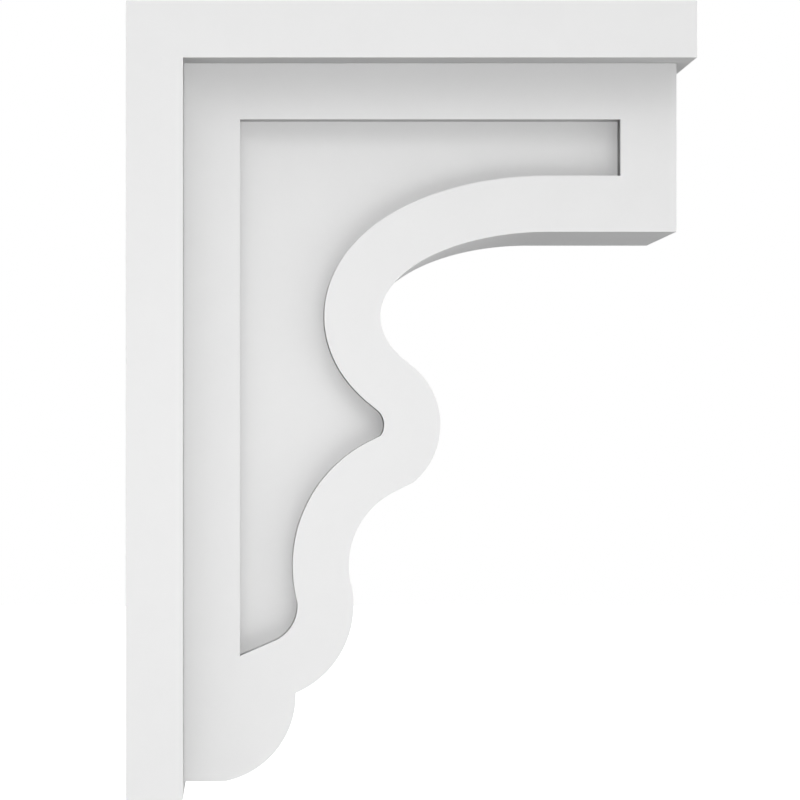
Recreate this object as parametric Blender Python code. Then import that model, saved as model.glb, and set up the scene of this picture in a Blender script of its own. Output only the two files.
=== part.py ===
"""A PVC corbel: a scroll bracket with recessed sides, a back plate and a top plate.

The frame is metric with +Z up. +X runs out from the wall, and the corbel is symmetric
about the plane Y = 0. The origin is the centre of the wall face.
"""
import math
from collections import namedtuple

import bmesh
import bpy
from mathutils import Vector

INCH = 0.0254

# Plates, cut from one thick board
CORBEL_PROJECTION = 20.0 * INCH
CORBEL_HEIGHT = 28.0 * INCH
PLATE_WIDTH = 7.0 * INCH
TOP_PLATE_THICKNESS = 2.0 * INCH
BACK_PLATE_THICKNESS = 2.0 * INCH

# Body, with its side frames, between the plates
BODY_WIDTH = 5.0 * INCH
FRONT_SETBACK = 0.5 * INCH
BOTTOM_SETBACK = 0.5 * INCH
ARM_DEPTH = 6.0 * INCH

# Side frames, which leave the recess between their bands
FRAME_THICKNESS = 0.5 * INCH
BAND_WIDTH = 2.0 * INCH

GLUE_GAP = 0.0003
FACET_DEGREES = 2.0
SHARP_DEGREES = 20.0

# The scroll's arcs, as shares of its length out from the back plate and of its height down
# from the level of the arm's lower edge. The angles, in degrees, turn from out to down. With
# the sizes above, all the arcs but the upper cove are round.
ScrollArc = namedtuple("ScrollArc", "out down radius_out radius_down start end")
UPPER_COVE = ScrollArc(0.7400, 0.1538, 0.3411, 0.1538, 270.0, 150.0)
UPPER_BULGE = ScrollArc(0.3674, 0.3513, 0.1531, 0.1374, -51.0, 49.0)
LOWER_COVE = ScrollArc(0.5020, 0.6077, 0.1674, 0.1503, 242.5, 167.0)
LOWER_BULGE = ScrollArc(0.1520, 0.6805, 0.1926, 0.1728, -13.0, 67.0)
TOE = ScrollArc(0.0486, 0.8426, 0.1789, 0.1605, 0.0, 78.8)

PLATE_COLOUR = (0.84, 0.84, 0.84, 1.0)
BODY_COLOUR = (0.82, 0.82, 0.82, 1.0)
FRAME_COLOUR = (0.83, 0.83, 0.83, 1.0)
PVC_ROUGHNESS = 0.45

WALL_TOP = CORBEL_HEIGHT / 2
WALL_BOTTOM = -CORBEL_HEIGHT / 2
BODY_BACK = BACK_PLATE_THICKNESS + GLUE_GAP
BODY_FRONT = CORBEL_PROJECTION - FRONT_SETBACK
BODY_TOP = WALL_TOP - TOP_PLATE_THICKNESS - GLUE_GAP
BODY_BOTTOM = WALL_BOTTOM + BOTTOM_SETBACK
ARM_UNDERSIDE = WALL_TOP - TOP_PLATE_THICKNESS - ARM_DEPTH


def clear_scene():
    for old_object in list(bpy.data.objects):
        bpy.data.objects.remove(old_object, do_unlink=True)


def pvc_material(name, colour):
    material = bpy.data.materials.new(name)
    material.use_nodes = True
    material.diffuse_color = colour
    shader = material.node_tree.nodes["Principled BSDF"]
    shader.inputs["Base Color"].default_value = colour
    shader.inputs["Roughness"].default_value = PVC_ROUGHNESS
    shader.inputs["Metallic"].default_value = 0.0
    return material


def arc_points(arc):
    """Points along one arc of the scroll, in the part's X and Z."""
    scroll_length = BODY_FRONT - BACK_PLATE_THICKNESS
    scroll_height = ARM_UNDERSIDE - BODY_BOTTOM
    steps = math.ceil(abs(arc.end - arc.start) / FACET_DEGREES)
    points = []
    for step in range(steps + 1):
        angle = math.radians(arc.start + (arc.end - arc.start) * step / steps)
        out = arc.out + arc.radius_out * math.cos(angle)
        down = arc.down + arc.radius_down * math.sin(angle)
        x = BACK_PLATE_THICKNESS + out * scroll_length
        z = ARM_UNDERSIDE - down * scroll_height
        points.append(Vector((x, z)))
    return points


def scroll_points():
    """The scroll edge from the end of the arm down to the notch above the toe."""
    points = [Vector((BODY_FRONT, ARM_UNDERSIDE))]
    for arc in (UPPER_COVE, UPPER_BULGE, LOWER_COVE, LOWER_BULGE):
        points += arc_points(arc)
    return points


def body_outline():
    """The side view of the body, closed, from its top back corner round by the arm."""
    toe = [point for point in arc_points(TOE) if point.y > BODY_BOTTOM]
    toe_end = Vector((arc_points(TOE)[-1].x, BODY_BOTTOM))
    corners = [Vector((BODY_BACK, BODY_TOP)), Vector((BODY_FRONT, BODY_TOP))]
    return corners + scroll_points() + toe + [toe_end, Vector((BODY_BACK, BODY_BOTTOM))]


def crossing(first, second, third, fourth):
    """The point where the run first-second crosses the run third-fourth, or None."""
    run = second - first
    other = fourth - third
    area = run.cross(other)
    if area == 0.0:
        return None
    along_run = (third - first).cross(other) / area
    along_other = (third - first).cross(run) / area
    if 0.0 <= along_run <= 1.0 and 0.0 <= along_other <= 1.0:
        return first + run * along_run
    return None


def parallel_points(points, distance):
    """The run parallel to an open run of points, to its right, mitred at each point."""
    directions = [(after - before).normalized() for before, after in zip(points, points[1:])]
    normals = [Vector((direction.y, -direction.x)) for direction in directions]
    shifted = [points[0] + normals[0] * distance]
    for point, before, after in zip(points[1:], normals, normals[1:]):
        shifted.append(point + (before + after) * distance / (1.0 + before.dot(after)))
    shifted.append(points[-1] + normals[-1] * distance)
    return shifted


def without_loops(points):
    """The same run with each loop that it makes where it crosses itself cut off."""
    kept = [points[0]]
    index = 0
    while index < len(points) - 1:
        for later in range(len(points) - 2, index + 1, -1):
            meeting = crossing(points[index], points[index + 1], points[later], points[later + 1])
            if meeting:
                kept.append(meeting)
                index = later
                break
        index += 1
        kept.append(points[index])
    return kept


def recess_outline():
    """The window in a side frame: the scroll's parallel, closed by the straight bands."""
    back = BACK_PLATE_THICKNESS + BAND_WIDTH
    front = BODY_FRONT - BAND_WIDTH
    top = WALL_TOP - TOP_PLATE_THICKNESS - BAND_WIDTH
    inner = without_loops(parallel_points(scroll_points(), BAND_WIDTH))
    arm_corner = Vector((front, ARM_UNDERSIDE + BAND_WIDTH))
    curve = [point for point in inner if back < point.x < front]
    slope = curve[-1] - curve[-2]
    tail = curve[-1] + slope * ((back - curve[-1].x) / slope.x)
    return [Vector((back, top)), Vector((front, top)), arm_corner] + curve + [tail]


def add_loop(bm, outline, y):
    """Edges of one closed outline, standing in the plane at y."""
    corners = [bm.verts.new((point.x, y, point.y)) for point in outline]
    return [bm.edges.new((start, end)) for start, end in zip(corners, corners[1:] + corners[:1])]


def add_panel(name, outlines, width, material):
    """A panel centred on its own origin, cut to the outlines, the second one a window."""
    bm = bmesh.new()
    edges = []
    for outline in outlines:
        edges += add_loop(bm, outline, -width / 2)
    bmesh.ops.triangle_fill(bm, use_beauty=True, use_dissolve=False, edges=edges)
    sheet = bmesh.ops.extrude_face_region(bm, geom=bm.faces[:])
    moved = [item for item in sheet["geom"] if isinstance(item, bmesh.types.BMVert)]
    bmesh.ops.translate(bm, verts=moved, vec=(0.0, width, 0.0))
    bmesh.ops.recalc_face_normals(bm, faces=bm.faces[:])
    mesh = bpy.data.meshes.new(name)
    bm.to_mesh(mesh)
    bm.free()
    mesh.shade_smooth()
    mesh.set_sharp_from_angle(angle=math.radians(SHARP_DEGREES))
    mesh.materials.append(material)
    return add_object(name, mesh)


def add_object(name, mesh):
    new_object = bpy.data.objects.new(name, mesh)
    bpy.context.scene.collection.objects.link(new_object)
    return new_object


def rectangle(x_from, x_to, z_from, z_to):
    corners = ((x_from, z_from), (x_to, z_from), (x_to, z_to), (x_from, z_to))
    return [Vector(corner) for corner in corners]


def add_plates(material):
    top_plate_underside = WALL_TOP - TOP_PLATE_THICKNESS
    top = rectangle(0.0, CORBEL_PROJECTION, top_plate_underside, WALL_TOP)
    back_plate_top = top_plate_underside - GLUE_GAP
    back = rectangle(0.0, BACK_PLATE_THICKNESS, WALL_BOTTOM, back_plate_top)
    add_panel("top_plate", [top], PLATE_WIDTH, material)
    add_panel("back_plate", [back], PLATE_WIDTH, material)


def add_scroll_body(material):
    width = BODY_WIDTH - 2 * (FRAME_THICKNESS + GLUE_GAP)
    add_panel("scroll_body", [body_outline()], width, material)


def add_side_frames(material):
    outlines = [body_outline(), recess_outline()]
    for name, side in (("side_frame_left", -1), ("side_frame_right", 1)):
        frame = add_panel(name, outlines, FRAME_THICKNESS, material)
        frame.location.y = side * (BODY_WIDTH - FRAME_THICKNESS) / 2


def main():
    clear_scene()
    add_plates(pvc_material("plate PVC", PLATE_COLOUR))
    add_scroll_body(pvc_material("body PVC", BODY_COLOUR))
    add_side_frames(pvc_material("frame PVC", FRAME_COLOUR))
    bpy.context.view_layer.update()


main()
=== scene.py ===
"""A scroll-cut PVC corbel with recessed sides, its studio and its camera.

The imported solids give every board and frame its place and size. The pieces made here are the
same ones with their arrises eased, their curves drawn finer and their glue lines closed, in
the satin finish of white cellular PVC.
"""
import math
from collections import namedtuple

import bmesh
import bpy
from bpy.props import FloatProperty, FloatVectorProperty, PointerProperty
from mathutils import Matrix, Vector


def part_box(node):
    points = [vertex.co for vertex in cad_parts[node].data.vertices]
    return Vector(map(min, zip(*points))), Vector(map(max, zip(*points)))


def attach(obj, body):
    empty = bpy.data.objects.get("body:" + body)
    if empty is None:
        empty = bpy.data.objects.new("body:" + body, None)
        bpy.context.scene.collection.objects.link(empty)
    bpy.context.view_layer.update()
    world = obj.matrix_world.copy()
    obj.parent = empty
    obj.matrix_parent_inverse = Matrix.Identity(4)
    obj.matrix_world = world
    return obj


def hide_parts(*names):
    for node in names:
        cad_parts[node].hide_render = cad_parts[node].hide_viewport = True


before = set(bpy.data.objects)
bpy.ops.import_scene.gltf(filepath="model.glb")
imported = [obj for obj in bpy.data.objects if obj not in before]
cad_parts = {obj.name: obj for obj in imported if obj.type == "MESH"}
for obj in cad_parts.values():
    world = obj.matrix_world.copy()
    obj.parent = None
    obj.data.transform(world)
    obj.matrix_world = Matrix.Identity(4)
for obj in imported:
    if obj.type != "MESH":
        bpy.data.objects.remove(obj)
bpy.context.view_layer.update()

bl_info = {
    "name": "PVC Corbel",
    "version": (1, 0, 0),
    "blender": (4, 5, 0),
    "location": "3D View > Sidebar > Corbel",
    "description": "Builds a scroll-cut PVC corbel with recessed sides, and a studio for it",
    "category": "Add Mesh",
}

# Faces of the solids, in metres
TOP_LOW, TOP_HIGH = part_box("top_plate")
BACK_LOW, BACK_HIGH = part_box("back_plate")
BODY_LOW, BODY_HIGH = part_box("scroll_body")
FRAME_LOW, FRAME_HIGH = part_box("side_frame_left")
PLATE_UNDERSIDE = TOP_LOW.z
BACK_PLATE_FACE = BACK_HIGH.x
ARM_END = BODY_HIGH.x
BODY_FOOT = BODY_LOW.z
BODY_SIDE = -FRAME_LOW.y
RECESS_FLOOR = -FRAME_HIGH.y

# The scroll's arcs, as shares of its length out from the back plate and of its height down
# from the level of the arm's lower edge. The angles, in degrees, turn from out to down.
ScrollArc = namedtuple("ScrollArc", "out down radius_out radius_down start end")
UPPER_COVE = ScrollArc(0.7400, 0.1538, 0.3411, 0.1538, 270.0, 150.0)
UPPER_BULGE = ScrollArc(0.3674, 0.3513, 0.1531, 0.1374, -51.0, 49.0)
LOWER_COVE = ScrollArc(0.5020, 0.6077, 0.1674, 0.1503, 242.5, 167.0)
LOWER_BULGE = ScrollArc(0.1520, 0.6805, 0.1926, 0.1728, -13.0, 67.0)
TOE = ScrollArc(0.0486, 0.8426, 0.1789, 0.1605, 0.0, 78.8)

# A closed side view: its points, and whether the arrises are eased along the edge after each
Outline = namedtuple("Outline", "points eased")

# Arrises: flats in the round of each, the round of a square corner of an outline in arrises,
# and the angle between faces from which an edge shades as a sharp one
ARRIS_STEPS = 4
CORNER_TO_ARRIS = 1.6
SHARP_ANGLE = math.radians(20.0)

# Cosine of the turn at a point of an outline from which its two edges count as one line
NEARLY_STRAIGHT = 0.999
QUARTER_TURN = math.radians(90.0)

# The surface: noise scales count lumps in a metre, and the clouds also sway the roughness
RUN_MAP = "distance along the outline"
SURFACE_GROUP = "PVC surface"
PVC_IOR = 1.48
NOISE_MIDDLE = 0.5
CLOUD_SCALE = 20.0
CLOUD_DETAIL = 4.0
PEEL_SCALE = 700.0
PEEL_DETAIL = 1.0
ROUGHNESS_CLOUD = 0.06

# Shares of the full cutter marks that show on the planed edges and on the sawn ones
PLANED_MARKS = 0.5
SAWN_MARKS = 1.0

FLOOR_SIZE = 24.0
FLOOR_CORNER_SHARE = 0.2
FLOOR_CORNER_STEPS = 11
FLOOR_ROUGHNESS = 0.8
CAMERA_CLIP_END = 60.0

# A soft lamp, by the direction that it shines from: azimuth turns from the side in front of the
# camera towards the end of the arm. Spread is the angle that the lamp fills, seen from the
# corbel. The angles are in degrees.
SoftLamp = namedtuple("SoftLamp", "name azimuth elevation spread level")
LAMP_DISTANCE = 2.5
LAMPS = (
    SoftLamp("overhead lamp", -60.0, 70.0, 60.0, 2.53),
    SoftLamp("high corner lamp", 45.0, 45.0, 60.0, 0.83),
    SoftLamp("front lamp", 0.0, 0.0, 6.0, 0.96),
    SoftLamp("low front lamp", 0.0, -60.0, 60.0, 0.64),
    SoftLamp("low corner lamp", 45.0, -45.0, 60.0, 0.62),
    SoftLamp("arm end lamp", 90.0, -15.0, 60.0, 1.75),
    SoftLamp("wall side lamp", -90.0, -15.0, 60.0, 0.88),
    SoftLamp("far lamp", 180.0, 3.0, 6.0, 1.95),
    SoftLamp("high far lamp", 180.0, 35.0, 50.0, 0.35),
    SoftLamp("far wall corner lamp", -115.0, 5.0, 20.0, 0.45),
)

# How often the light of a lamp goes on from one surface to another: the side in the photograph
# is lit only by the lamps themselves
LAMP_BOUNCES = 0


class CorbelSizes(bpy.types.PropertyGroup):
    """Sizes that the boxes of the solids don't give."""

    arm_depth: FloatProperty(
        name="Arm depth",
        description="Height of the arm from the top plate down to its straight lower edge",
        default=0.1524,
        unit="LENGTH",
        subtype="DISTANCE",
    )
    band_width: FloatProperty(
        name="Band width",
        description="Width of the flat band that the side frames leave round the recess",
        default=0.0508,
        unit="LENGTH",
        subtype="DISTANCE",
    )
    arris: FloatProperty(
        name="Arris",
        description="Radius of the sanded arrises",
        default=0.0004,
        precision=4,
        unit="LENGTH",
        subtype="DISTANCE",
    )
    arc_step: FloatProperty(
        name="Arc step",
        description="Turn from one point of an arc to the next",
        default=math.radians(1.0),
        unit="ROTATION",
        subtype="ANGLE",
    )


class PvcFinish(bpy.types.PropertyGroup):
    """Colour and surface of the white PVC."""

    colour: FloatVectorProperty(
        name="Colour",
        description="Colour of the PVC",
        default=(0.86, 0.86, 0.86, 1.0),
        size=4,
        min=0.0,
        max=1.0,
        subtype="COLOR",
    )
    mottle: FloatProperty(
        name="Mottle",
        description="How far the colour clouds from place to place",
        default=0.05,
        min=0.0,
        max=1.0,
        subtype="FACTOR",
    )
    sheet_roughness: FloatProperty(
        name="Sheet roughness",
        description="Roughness of the smooth faces of the sheet",
        default=0.42,
        min=0.0,
        max=1.0,
        subtype="FACTOR",
    )
    cut_roughness: FloatProperty(
        name="Cut roughness",
        description="Roughness of the edges that the cutter leaves",
        default=0.55,
        min=0.0,
        max=1.0,
        subtype="FACTOR",
    )
    peel_height: FloatProperty(
        name="Peel height",
        description="Height of the fine pebbling of the sheet's skin",
        default=0.000010,
        precision=6,
        unit="LENGTH",
        subtype="DISTANCE",
    )
    cutter_height: FloatProperty(
        name="Cutter mark height",
        description="Height of the marks that the cutter leaves across an edge",
        default=0.000008,
        precision=6,
        unit="LENGTH",
        subtype="DISTANCE",
    )
    cutter_pitch: FloatProperty(
        name="Cutter mark pitch",
        description="Distance from one cutter mark to the next along an edge",
        default=0.0024,
        precision=4,
        unit="LENGTH",
        subtype="DISTANCE",
    )


class CorbelStudio(bpy.types.PropertyGroup):
    """The floor, the light and the camera."""

    floor_drop: FloatProperty(
        name="Floor drop",
        description="Height of the corbel's lowest edge over the floor",
        default=0.9,
        unit="LENGTH",
        subtype="DISTANCE",
    )
    floor_colour: FloatVectorProperty(
        name="Floor colour",
        description="Colour of the studio floor",
        default=(0.95, 0.95, 0.95, 1.0),
        size=4,
        min=0.0,
        max=1.0,
        subtype="COLOR",
    )
    floor_glow: FloatProperty(
        name="Floor glow",
        description="Light of the floor's own, which keeps it white paper to the camera",
        default=0.5,
        min=0.0,
    )
    camera_out: FloatProperty(
        name="Camera out",
        description="How far the camera stands out from the wall face",
        default=0.10148,
        unit="LENGTH",
        subtype="DISTANCE",
    )
    camera_distance: FloatProperty(
        name="Camera distance",
        description="Distance of the camera from the corbel's middle plane",
        default=1.80013,
        unit="LENGTH",
        subtype="DISTANCE",
    )
    camera_height: FloatProperty(
        name="Camera height",
        description="Height of the camera over the corbel's middle",
        default=-0.03094,
        unit="LENGTH",
        subtype="DISTANCE",
    )
    camera_pitch: FloatProperty(
        name="Camera pitch",
        description="How far the camera looks up",
        default=math.radians(0.2141),
        unit="ROTATION",
        subtype="ANGLE",
    )
    camera_lens: FloatProperty(
        name="Camera lens",
        description="Focal length of the camera",
        default=86.694,
        unit="CAMERA",
    )
    shift_right: FloatProperty(
        name="Shift right",
        description="Lens shift to the right, as a share of the picture",
        default=0.20,
    )
    shift_up: FloatProperty(
        name="Shift up",
        description="Lens shift upward, as a share of the picture",
        default=0.035,
    )


def arc_points(arc, sizes):
    """Points along one arc of the scroll, in X and Z."""
    arm_underside = PLATE_UNDERSIDE - sizes.arm_depth
    scroll_length = ARM_END - BACK_PLATE_FACE
    scroll_height = arm_underside - BODY_FOOT
    start = math.radians(arc.start)
    turn = math.radians(arc.end - arc.start)
    steps = math.ceil(abs(turn) / sizes.arc_step)
    points = []
    for step in range(steps + 1):
        angle = start + turn * step / steps
        out = arc.out + arc.radius_out * math.cos(angle)
        down = arc.down + arc.radius_down * math.sin(angle)
        x = BACK_PLATE_FACE + out * scroll_length
        z = arm_underside - down * scroll_height
        points.append(Vector((x, z)))
    return points


def scroll_points(sizes):
    """The scroll edge from the end of the arm down to the notch above the toe."""
    points = [Vector((ARM_END, PLATE_UNDERSIDE - sizes.arm_depth))]
    for arc in (UPPER_COVE, UPPER_BULGE, LOWER_COVE, LOWER_BULGE):
        points += arc_points(arc, sizes)
    return points


def rounded_corner(before, corner, after, arris):
    """The small arc that eases a square corner of an outline, from before it to after it."""
    radius = arris * CORNER_TO_ARRIS
    to_before = (before - corner).normalized()
    to_after = (after - corner).normalized()
    centre = corner + (to_before + to_after) * radius
    points = []
    for step in range(ARRIS_STEPS + 1):
        angle = QUARTER_TURN * step / ARRIS_STEPS
        points.append(centre - (to_after * math.cos(angle) + to_before * math.sin(angle)) * radius)
    return points


def top_board_outline(arris):
    """The top plate from the side: its arrises stop where the back plate is glued under it."""
    wall_top = Vector((TOP_LOW.x, TOP_HIGH.z))
    front_top = Vector((TOP_HIGH.x, TOP_HIGH.z))
    front_under = Vector((TOP_HIGH.x, PLATE_UNDERSIDE))
    wall_under = Vector((TOP_LOW.x, PLATE_UNDERSIDE))
    free = rounded_corner(wall_under, wall_top, front_top, arris)
    free += rounded_corner(wall_top, front_top, front_under, arris)
    free += rounded_corner(front_top, front_under, wall_under, arris)
    free.append(Vector((BACK_PLATE_FACE, PLATE_UNDERSIDE)))
    glued = [Vector((BACK_PLATE_FACE - arris, PLATE_UNDERSIDE)), wall_under]
    return Outline(free + glued, [True] * len(free) + [False, True])


def back_board_outline(arris):
    """The back plate from the side, glued along its top."""
    wall_top = Vector((BACK_LOW.x, PLATE_UNDERSIDE))
    front_top = Vector((BACK_PLATE_FACE, PLATE_UNDERSIDE))
    front_foot = Vector((BACK_PLATE_FACE, BACK_LOW.z))
    wall_foot = Vector((BACK_LOW.x, BACK_LOW.z))
    free = rounded_corner(front_top, front_foot, wall_foot, arris)
    free += rounded_corner(front_foot, wall_foot, wall_top, arris)
    return Outline([wall_top, front_top] + free, [False, True] + [True] * len(free))


def body_outline(sizes):
    """The body from the side: only the edges clear of the plates are eased."""
    top_back = Vector((BACK_PLATE_FACE, PLATE_UNDERSIDE))
    top_front = Vector((ARM_END, PLATE_UNDERSIDE))
    scroll = scroll_points(sizes)
    toe = arc_points(TOE, sizes)
    foot_back = Vector((BACK_PLATE_FACE, BODY_FOOT))
    free = [top_front] + rounded_corner(top_front, scroll[0], scroll[1], sizes.arris)
    free += scroll[1:] + [point for point in toe if point.y > BODY_FOOT]
    free.append(Vector((toe[-1].x, BODY_FOOT)))
    return Outline([top_back] + free + [foot_back], [False] + [True] * len(free) + [False])


def crossing(first, second, third, fourth):
    """The point where the run first-second crosses the run third-fourth, or None."""
    run = second - first
    other = fourth - third
    area = run.cross(other)
    if area == 0.0:
        return None
    along_run = (third - first).cross(other) / area
    along_other = (third - first).cross(run) / area
    if 0.0 <= along_run <= 1.0 and 0.0 <= along_other <= 1.0:
        return first + run * along_run
    return None


def without_loops(points):
    """The same run with each loop that it makes where it crosses itself cut off."""
    kept = [points[0]]
    index = 0
    while index < len(points) - 1:
        for later in range(len(points) - 2, index + 1, -1):
            meeting = crossing(points[index], points[index + 1], points[later], points[later + 1])
            if meeting:
                kept.append(meeting)
                index = later
                break
        index += 1
        kept.append(points[index])
    return kept


def right_normal(start, end):
    """The normal to the right of a run, which on an outline is the side of its material."""
    direction = (end - start).normalized()
    return Vector((direction.y, -direction.x))


def moved_corner(corner, before, after, depth_before, depth_after):
    """A corner once the edges before and after it have moved along their normals."""
    cosine = before.dot(after)
    if cosine > NEARLY_STRAIGHT:
        return corner + (before + after) * min(depth_before, depth_after) / (1.0 + cosine)
    spread = 1.0 - cosine * cosine
    along_before = (depth_before - cosine * depth_after) / spread
    along_after = (depth_after - cosine * depth_before) / spread
    return corner + before * along_before + after * along_after


def parallel_points(points, distance):
    """The run parallel to an open run of points, to its right."""
    normals = [right_normal(start, end) for start, end in zip(points, points[1:])]
    shifted = [points[0] + normals[0] * distance]
    for point, before, after in zip(points[1:], normals, normals[1:]):
        shifted.append(moved_corner(point, before, after, distance, distance))
    shifted.append(points[-1] + normals[-1] * distance)
    return shifted


def recess_outline(sizes):
    """The window in a side frame, turning so that the frame is on its right."""
    back = BACK_PLATE_FACE + sizes.band_width
    front = ARM_END - sizes.band_width
    top = PLATE_UNDERSIDE - sizes.band_width
    arm_corner = Vector((front, PLATE_UNDERSIDE - sizes.arm_depth + sizes.band_width))
    inner = without_loops(parallel_points(scroll_points(sizes), sizes.band_width))
    curve = [point for point in inner if back < point.x < front]
    slope = curve[-1] - curve[-2]
    tail = curve[-1] + slope * ((back - curve[-1].x) / slope.x)
    points = [Vector((back, top)), Vector((front, top)), arm_corner] + curve + [tail]
    return Outline(points[::-1], [True] * len(points))


def eased_points(outline, depth):
    """The outline with its eased edges moved into the material by the depth."""
    points = outline.points
    normals = [right_normal(start, end) for start, end in zip(points, points[1:] + points[:1])]
    depths = [depth if eased else 0.0 for eased in outline.eased]
    moved = []
    for index, point in enumerate(points):
        edges = (normals[index - 1], normals[index], depths[index - 1], depths[index])
        moved.append(moved_corner(point, *edges))
    return moved


def arris_profile(face_y, inward, arris):
    """Steps of depth and Y round an arris, from the edge of the panel to its flat face."""
    steps = []
    for step in range(ARRIS_STEPS + 1):
        angle = QUARTER_TURN * step / ARRIS_STEPS
        y = face_y + inward * arris * (1.0 - math.sin(angle))
        steps.append((arris * (1.0 - math.cos(angle)), y))
    return steps


def panel_profile(low_y, high_y, low_arris, high_arris):
    """Steps of depth and Y across the edge of a panel, from its low face to its high face."""
    low = arris_profile(low_y, 1.0, low_arris) if low_arris else [(0.0, low_y)]
    high = arris_profile(high_y, -1.0, high_arris) if high_arris else [(0.0, high_y)]
    return low[::-1] + high


def outline_runs(points):
    """The distance along a closed outline at each point, and at its start once more."""
    runs = [0.0]
    for start, end in zip(points, points[1:] + points[:1]):
        runs.append(runs[-1] + (end - start).length)
    return runs


def add_edge_faces(bm, outline, profile):
    """The faces of a panel's edge along one outline. Returns its first and last rings."""
    run_layer = bm.loops.layers.uv[RUN_MAP]
    runs = outline_runs(outline.points)
    rings = []
    for depth, y in profile:
        places = eased_points(outline, depth)
        rings.append([bm.verts.new((place.x, y, place.y)) for place in places])
    for step, (near, far) in enumerate(zip(rings, rings[1:])):
        near_y, far_y = profile[step][1], profile[step + 1][1]
        for index in range(len(near)):
            following = (index + 1) % len(near)
            corners = (near[index], near[following], far[following], far[index])
            face = bm.faces.new(corners)
            here, there = runs[index], runs[index + 1]
            places = ((here, near_y), (there, near_y), (there, far_y), (here, far_y))
            for loop, place in zip(face.loops, places):
                loop[run_layer].uv = place
    return rings[0], rings[-1]


def add_flat_face(bm, rings):
    """The flat face of a panel between the ring of its edge and the rings of its windows."""
    edges = []
    for ring in rings:
        edges += [bm.edges.get(pair) for pair in zip(ring, ring[1:] + ring[:1])]
    bmesh.ops.triangle_fill(bm, use_beauty=True, use_dissolve=False, edges=edges)


def add_panel(name, outlines, profile, material):
    """A board or frame cut to its outlines, the second one a window."""
    bm = bmesh.new()
    bm.loops.layers.uv.new(RUN_MAP)
    ring_pairs = [add_edge_faces(bm, outline, profile) for outline in outlines]
    for rings in zip(*ring_pairs):
        add_flat_face(bm, rings)
    bmesh.ops.recalc_face_normals(bm, faces=bm.faces[:])
    mesh = bpy.data.meshes.new(name)
    bm.to_mesh(mesh)
    bm.free()
    mesh.shade_smooth()
    mesh.set_sharp_from_angle(angle=SHARP_ANGLE)
    mesh.materials.append(material)
    panel = bpy.data.objects.new(name, mesh)
    bpy.context.scene.collection.objects.link(panel)
    flat_faces = panel.modifiers.new("flat faces", "WEIGHTED_NORMAL")
    flat_faces.keep_sharp = True
    return panel


def fit_panel(panel, node):
    """Puts the panel in its node's place on the corbel."""
    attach(panel, "root")
    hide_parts(node)


def add_input(group, name, kind, default):
    socket = group.interface.new_socket(name=name, in_out="INPUT", socket_type=kind)
    socket.default_value = default


def calculate(tree, operation, *values):
    """A Math node over sockets or plain numbers. Returns its result socket."""
    node = tree.nodes.new("ShaderNodeMath")
    node.operation = operation
    for slot, value in zip(node.inputs, values):
        if isinstance(value, bpy.types.NodeSocket):
            tree.links.new(value, slot)
        else:
            slot.default_value = value
    return node.outputs["Value"]


def add_noise(tree, scale, detail):
    """Noise fixed to the object, swinging either way from zero."""
    place = tree.nodes.new("ShaderNodeTexCoord")
    noise = tree.nodes.new("ShaderNodeTexNoise")
    noise.inputs["Scale"].default_value = scale
    noise.inputs["Detail"].default_value = detail
    tree.links.new(place.outputs["Object"], noise.inputs["Vector"])
    return calculate(tree, "SUBTRACT", noise.outputs["Fac"], NOISE_MIDDLE)


def add_cut_mask(tree):
    """1 on the edges that the cutter leaves, which stand across the sheet, and 0 on its faces."""
    geometry = tree.nodes.new("ShaderNodeNewGeometry")
    parts = tree.nodes.new("ShaderNodeSeparateXYZ")
    tree.links.new(geometry.outputs["True Normal"], parts.inputs["Vector"])
    facing = calculate(tree, "ABSOLUTE", parts.outputs["Y"])
    return calculate(tree, "SUBTRACT", 1.0, facing)


def add_cutter_marks(tree, height, pitch):
    """The height of the cutter marks, which follow each other along the outline."""
    run_map = tree.nodes.new("ShaderNodeUVMap")
    run_map.uv_map = RUN_MAP
    run = tree.nodes.new("ShaderNodeSeparateXYZ")
    tree.links.new(run_map.outputs["UV"], run.inputs["Vector"])
    marks = calculate(tree, "DIVIDE", run.outputs["X"], pitch)
    wave = calculate(tree, "SINE", calculate(tree, "MULTIPLY", marks, math.tau))
    return calculate(tree, "MULTIPLY", wave, height)


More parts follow.
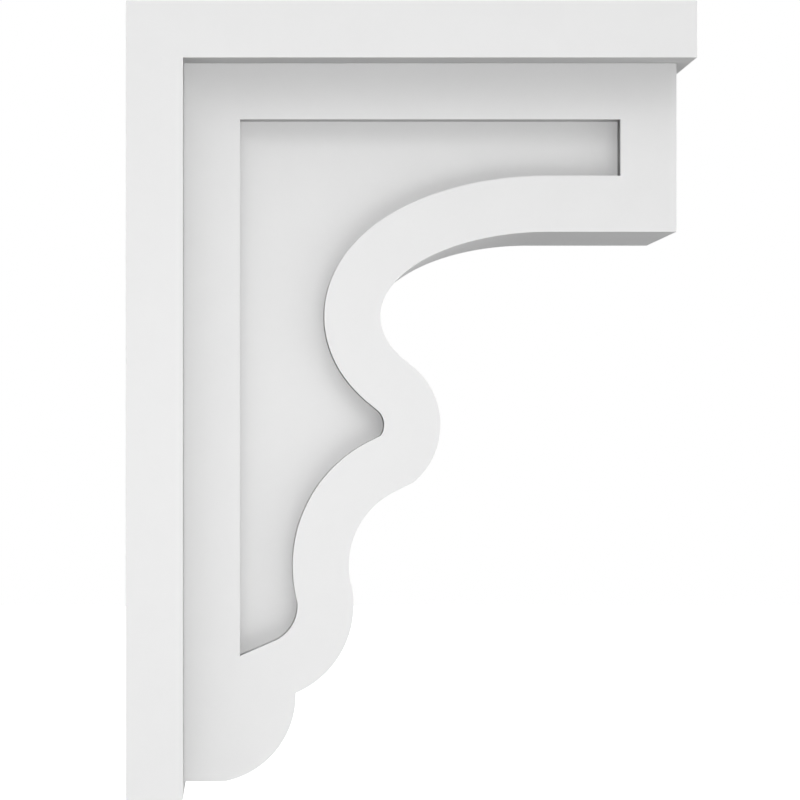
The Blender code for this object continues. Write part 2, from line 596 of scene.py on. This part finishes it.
def surface_group():
    """The clouded colour, roughness and height of PVC sheet and of its cut edges."""
    tree = bpy.data.node_groups.new(SURFACE_GROUP, "ShaderNodeTree")
    add_input(tree, "Colour", "NodeSocketColor", (1.0, 1.0, 1.0, 1.0))
    for name in ("Mottle", "Sheet Roughness", "Cut Roughness", "Peel Height"):
        add_input(tree, name, "NodeSocketFloat", 0.0)
    add_input(tree, "Cutter Mark Height", "NodeSocketFloat", 0.0)
    add_input(tree, "Cutter Mark Pitch", "NodeSocketFloat", 1.0)
    tree.interface.new_socket(name="Colour", in_out="OUTPUT", socket_type="NodeSocketColor")
    tree.interface.new_socket(name="Roughness", in_out="OUTPUT", socket_type="NodeSocketFloat")
    tree.interface.new_socket(name="Height", in_out="OUTPUT", socket_type="NodeSocketFloat")
    given = tree.nodes.new("NodeGroupInput").outputs
    result = tree.nodes.new("NodeGroupOutput").inputs
    clouds = add_noise(tree, CLOUD_SCALE, CLOUD_DETAIL)
    cut = add_cut_mask(tree)

    tint = calculate(tree, "MULTIPLY_ADD", clouds, given["Mottle"], 1.0)
    clouded = tree.nodes.new("ShaderNodeVectorMath")
    clouded.operation = "SCALE"
    tree.links.new(given["Colour"], clouded.inputs["Vector"])
    tree.links.new(tint, clouded.inputs["Scale"])
    tree.links.new(clouded.outputs["Vector"], result["Colour"])

    step = calculate(tree, "SUBTRACT", given["Cut Roughness"], given["Sheet Roughness"])
    rough = calculate(tree, "MULTIPLY_ADD", step, cut, given["Sheet Roughness"])
    clouded_rough = calculate(tree, "MULTIPLY_ADD", clouds, ROUGHNESS_CLOUD, rough)
    tree.links.new(clouded_rough, result["Roughness"])

    marks = add_cutter_marks(tree, given["Cutter Mark Height"], given["Cutter Mark Pitch"])
    pebbles = add_noise(tree, PEEL_SCALE, PEEL_DETAIL)
    peel = calculate(tree, "MULTIPLY", pebbles, given["Peel Height"])
    tree.links.new(calculate(tree, "MULTIPLY_ADD", marks, cut, peel), result["Height"])
    return tree


def pvc_material(name, finish, mark_share):
    """White PVC, whose cut edges show the given share of the full cutter marks."""
    material = bpy.data.materials.new(name)
    material.use_nodes = True
    tree = material.node_tree
    shader = tree.nodes["Principled BSDF"]
    shader.inputs["IOR"].default_value = PVC_IOR
    surface = tree.nodes.new("ShaderNodeGroup")
    surface.node_tree = bpy.data.node_groups.get(SURFACE_GROUP) or surface_group()
    surface.inputs["Colour"].default_value = finish.colour
    surface.inputs["Mottle"].default_value = finish.mottle
    surface.inputs["Sheet Roughness"].default_value = finish.sheet_roughness
    surface.inputs["Cut Roughness"].default_value = finish.cut_roughness
    surface.inputs["Peel Height"].default_value = finish.peel_height
    surface.inputs["Cutter Mark Height"].default_value = finish.cutter_height * mark_share
    surface.inputs["Cutter Mark Pitch"].default_value = finish.cutter_pitch
    bump = tree.nodes.new("ShaderNodeBump")
    bump.inputs["Distance"].default_value = 1.0
    tree.links.new(surface.outputs["Colour"], shader.inputs["Base Color"])
    tree.links.new(surface.outputs["Roughness"], shader.inputs["Roughness"])
    tree.links.new(surface.outputs["Height"], bump.inputs["Height"])
    tree.links.new(bump.outputs["Normal"], shader.inputs["Normal"])
    return material


class CORBEL_OT_plates(bpy.types.Operator):
    """Make the top plate and the back plate, glued flush at the corner by the wall"""

    bl_idname = "corbel.plates"
    bl_label = "Plates"

    def execute(self, context):
        arris = context.scene.corbel_sizes.arris
        material = pvc_material("plate PVC", context.scene.corbel_finish, PLANED_MARKS)
        profile = panel_profile(TOP_LOW.y, TOP_HIGH.y, arris, arris)
        top = add_panel("top_board", [top_board_outline(arris)], profile, material)
        fit_panel(top, "top_plate")
        back = add_panel("back_board", [back_board_outline(arris)], profile, material)
        fit_panel(back, "back_plate")
        return {"FINISHED"}


class CORBEL_OT_body(bpy.types.Operator):
    """Make the scroll-cut body, whose sides are the floors of the recesses"""

    bl_idname = "corbel.body"
    bl_label = "Body"

    def execute(self, context):
        material = pvc_material("body PVC", context.scene.corbel_finish, SAWN_MARKS)
        profile = panel_profile(-RECESS_FLOOR, RECESS_FLOOR, 0.0, 0.0)
        outline = body_outline(context.scene.corbel_sizes)
        body = add_panel("corbel_body", [outline], profile, material)
        fit_panel(body, "scroll_body")
        return {"FINISHED"}


class CORBEL_OT_side_frames(bpy.types.Operator):
    """Make the two side frames, which leave the recesses between their bands"""

    bl_idname = "corbel.side_frames"
    bl_label = "Side Frames"

    def execute(self, context):
        sizes = context.scene.corbel_sizes
        material = pvc_material("frame PVC", context.scene.corbel_finish, SAWN_MARKS)
        outlines = [body_outline(sizes), recess_outline(sizes)]
        left = panel_profile(-BODY_SIDE, -RECESS_FLOOR, sizes.arris, 0.0)
        left_frame = add_panel("left_recess_frame", outlines, left, material)
        fit_panel(left_frame, "side_frame_left")
        right = panel_profile(RECESS_FLOOR, BODY_SIDE, 0.0, sizes.arris)
        right_frame = add_panel("right_recess_frame", outlines, right, material)
        fit_panel(right_frame, "side_frame_right")
        return {"FINISHED"}


def floor_edge(height):
    """Points round a square floor with rounded corners."""
    radius = FLOOR_SIZE / 2 * FLOOR_CORNER_SHARE
    reach = FLOOR_SIZE / 2 - radius
    points = []
    for corner, (side_x, side_y) in enumerate(((1, 1), (-1, 1), (-1, -1), (1, -1))):
        for step in range(FLOOR_CORNER_STEPS + 1):
            angle = QUARTER_TURN * (corner + step / FLOOR_CORNER_STEPS)
            x = side_x * reach + radius * math.cos(angle)
            y = side_y * reach + radius * math.sin(angle)
            points.append((x, y, height))
    return points


def floor_material(studio):
    """Pale matt paper with a light glow of its own."""
    material = bpy.data.materials.new("pale floor")
    material.use_nodes = True
    shader = material.node_tree.nodes["Principled BSDF"]
    shader.inputs["Base Color"].default_value = studio.floor_colour
    shader.inputs["Roughness"].default_value = FLOOR_ROUGHNESS
    shader.inputs["Emission Color"].default_value = studio.floor_colour
    shader.inputs["Emission Strength"].default_value = studio.floor_glow
    return material


def add_floor(studio):
    """A pale floor, which only the camera sees, so that it lights nothing."""
    points = floor_edge(BACK_LOW.z - studio.floor_drop)
    mesh = bpy.data.meshes.new("studio floor")
    mesh.from_pydata(points, [], [range(len(points))])
    mesh.materials.append(floor_material(studio))
    floor = bpy.data.objects.new("studio_floor", mesh)
    bpy.context.scene.collection.objects.link(floor)
    floor.visible_diffuse = False
    floor.visible_glossy = False
    floor.visible_shadow = False


def add_backdrop():
    """A world that gives no light and that the camera sees as white paper."""
    world = bpy.data.worlds.new("studio room")
    world.use_nodes = True
    bpy.context.scene.world = world
    tree = world.node_tree
    seen = tree.nodes.new("ShaderNodeLightPath").outputs["Is Camera Ray"]
    background = tree.nodes["Background"]
    background.inputs["Color"].default_value = (1.0, 1.0, 1.0, 1.0)
    tree.links.new(seen, background.inputs["Strength"])


def add_lamp(lamp):
    """A sun lamp wide enough to shine as softly as a large softbox."""
    azimuth, elevation = math.radians(lamp.azimuth), math.radians(lamp.elevation)
    x = math.sin(azimuth) * math.cos(elevation)
    y = -math.cos(azimuth) * math.cos(elevation)
    towards = Vector((x, y, math.sin(elevation)))
    light = bpy.data.lights.new(lamp.name, "SUN")
    light.angle = math.radians(lamp.spread)
    light.energy = lamp.level
    light.cycles.max_bounces = LAMP_BOUNCES
    light.cycles.use_multiple_importance_sampling = False
    source = bpy.data.objects.new(lamp.name, light)
    source.rotation_euler = towards.to_track_quat("Z", "Y").to_euler()
    source.location = towards * LAMP_DISTANCE
    bpy.context.scene.collection.objects.link(source)


def add_camera(studio):
    """The camera at the photograph's viewing angle."""
    lens = bpy.data.cameras.new("photo camera")
    lens.lens = studio.camera_lens
    lens.shift_x = studio.shift_right
    lens.shift_y = studio.shift_up
    lens.clip_end = CAMERA_CLIP_END
    camera = bpy.data.objects.new("photo camera", lens)
    camera.location = (studio.camera_out, -studio.camera_distance, studio.camera_height)
    camera.rotation_euler = (math.radians(90.0) + studio.camera_pitch, 0.0, 0.0)
    bpy.context.scene.collection.objects.link(camera)
    bpy.context.scene.camera = camera


class CORBEL_OT_stage(bpy.types.Operator):
    """Set up the pale floor, the soft light and the camera"""

    bl_idname = "corbel.stage"
    bl_label = "Stage"

    def execute(self, context):
        studio = context.scene.corbel_studio
        add_floor(studio)
        add_backdrop()
        for lamp in LAMPS:
            add_lamp(lamp)
        add_camera(studio)
        context.scene.view_settings.view_transform = "Standard"
        return {"FINISHED"}


OPERATORS = (CORBEL_OT_plates, CORBEL_OT_body, CORBEL_OT_side_frames, CORBEL_OT_stage)
SETTINGS = {
    "corbel_sizes": CorbelSizes,
    "corbel_finish": PvcFinish,
    "corbel_studio": CorbelStudio,
}


class CORBEL_PT_sidebar(bpy.types.Panel):
    """The corbel's sizes, finish and studio, and the steps that build it"""

    bl_idname = "CORBEL_PT_sidebar"
    bl_label = "PVC Corbel"
    bl_space_type = "VIEW_3D"
    bl_region_type = "UI"
    bl_category = "Corbel"

    def draw(self, context):
        for name, group in SETTINGS.items():
            box = self.layout.box()
            for setting in group.__annotations__:
                box.prop(getattr(context.scene, name), setting)
        for operator in OPERATORS:
            self.layout.operator(operator.bl_idname)


CLASSES = (*SETTINGS.values(), *OPERATORS, CORBEL_PT_sidebar)


def register():
    for item in CLASSES:
        bpy.utils.register_class(item)
    for name, group in SETTINGS.items():
        setattr(bpy.types.Scene, name, PointerProperty(type=group))


def unregister():
    for name in SETTINGS:
        delattr(bpy.types.Scene, name)
    for item in reversed(CLASSES):
        bpy.utils.unregister_class(item)


def main():
    register()
    bpy.ops.corbel.plates()
    bpy.ops.corbel.body()
    bpy.ops.corbel.side_frames()
    bpy.ops.corbel.stage()


if __name__ == "__main__":
    main()
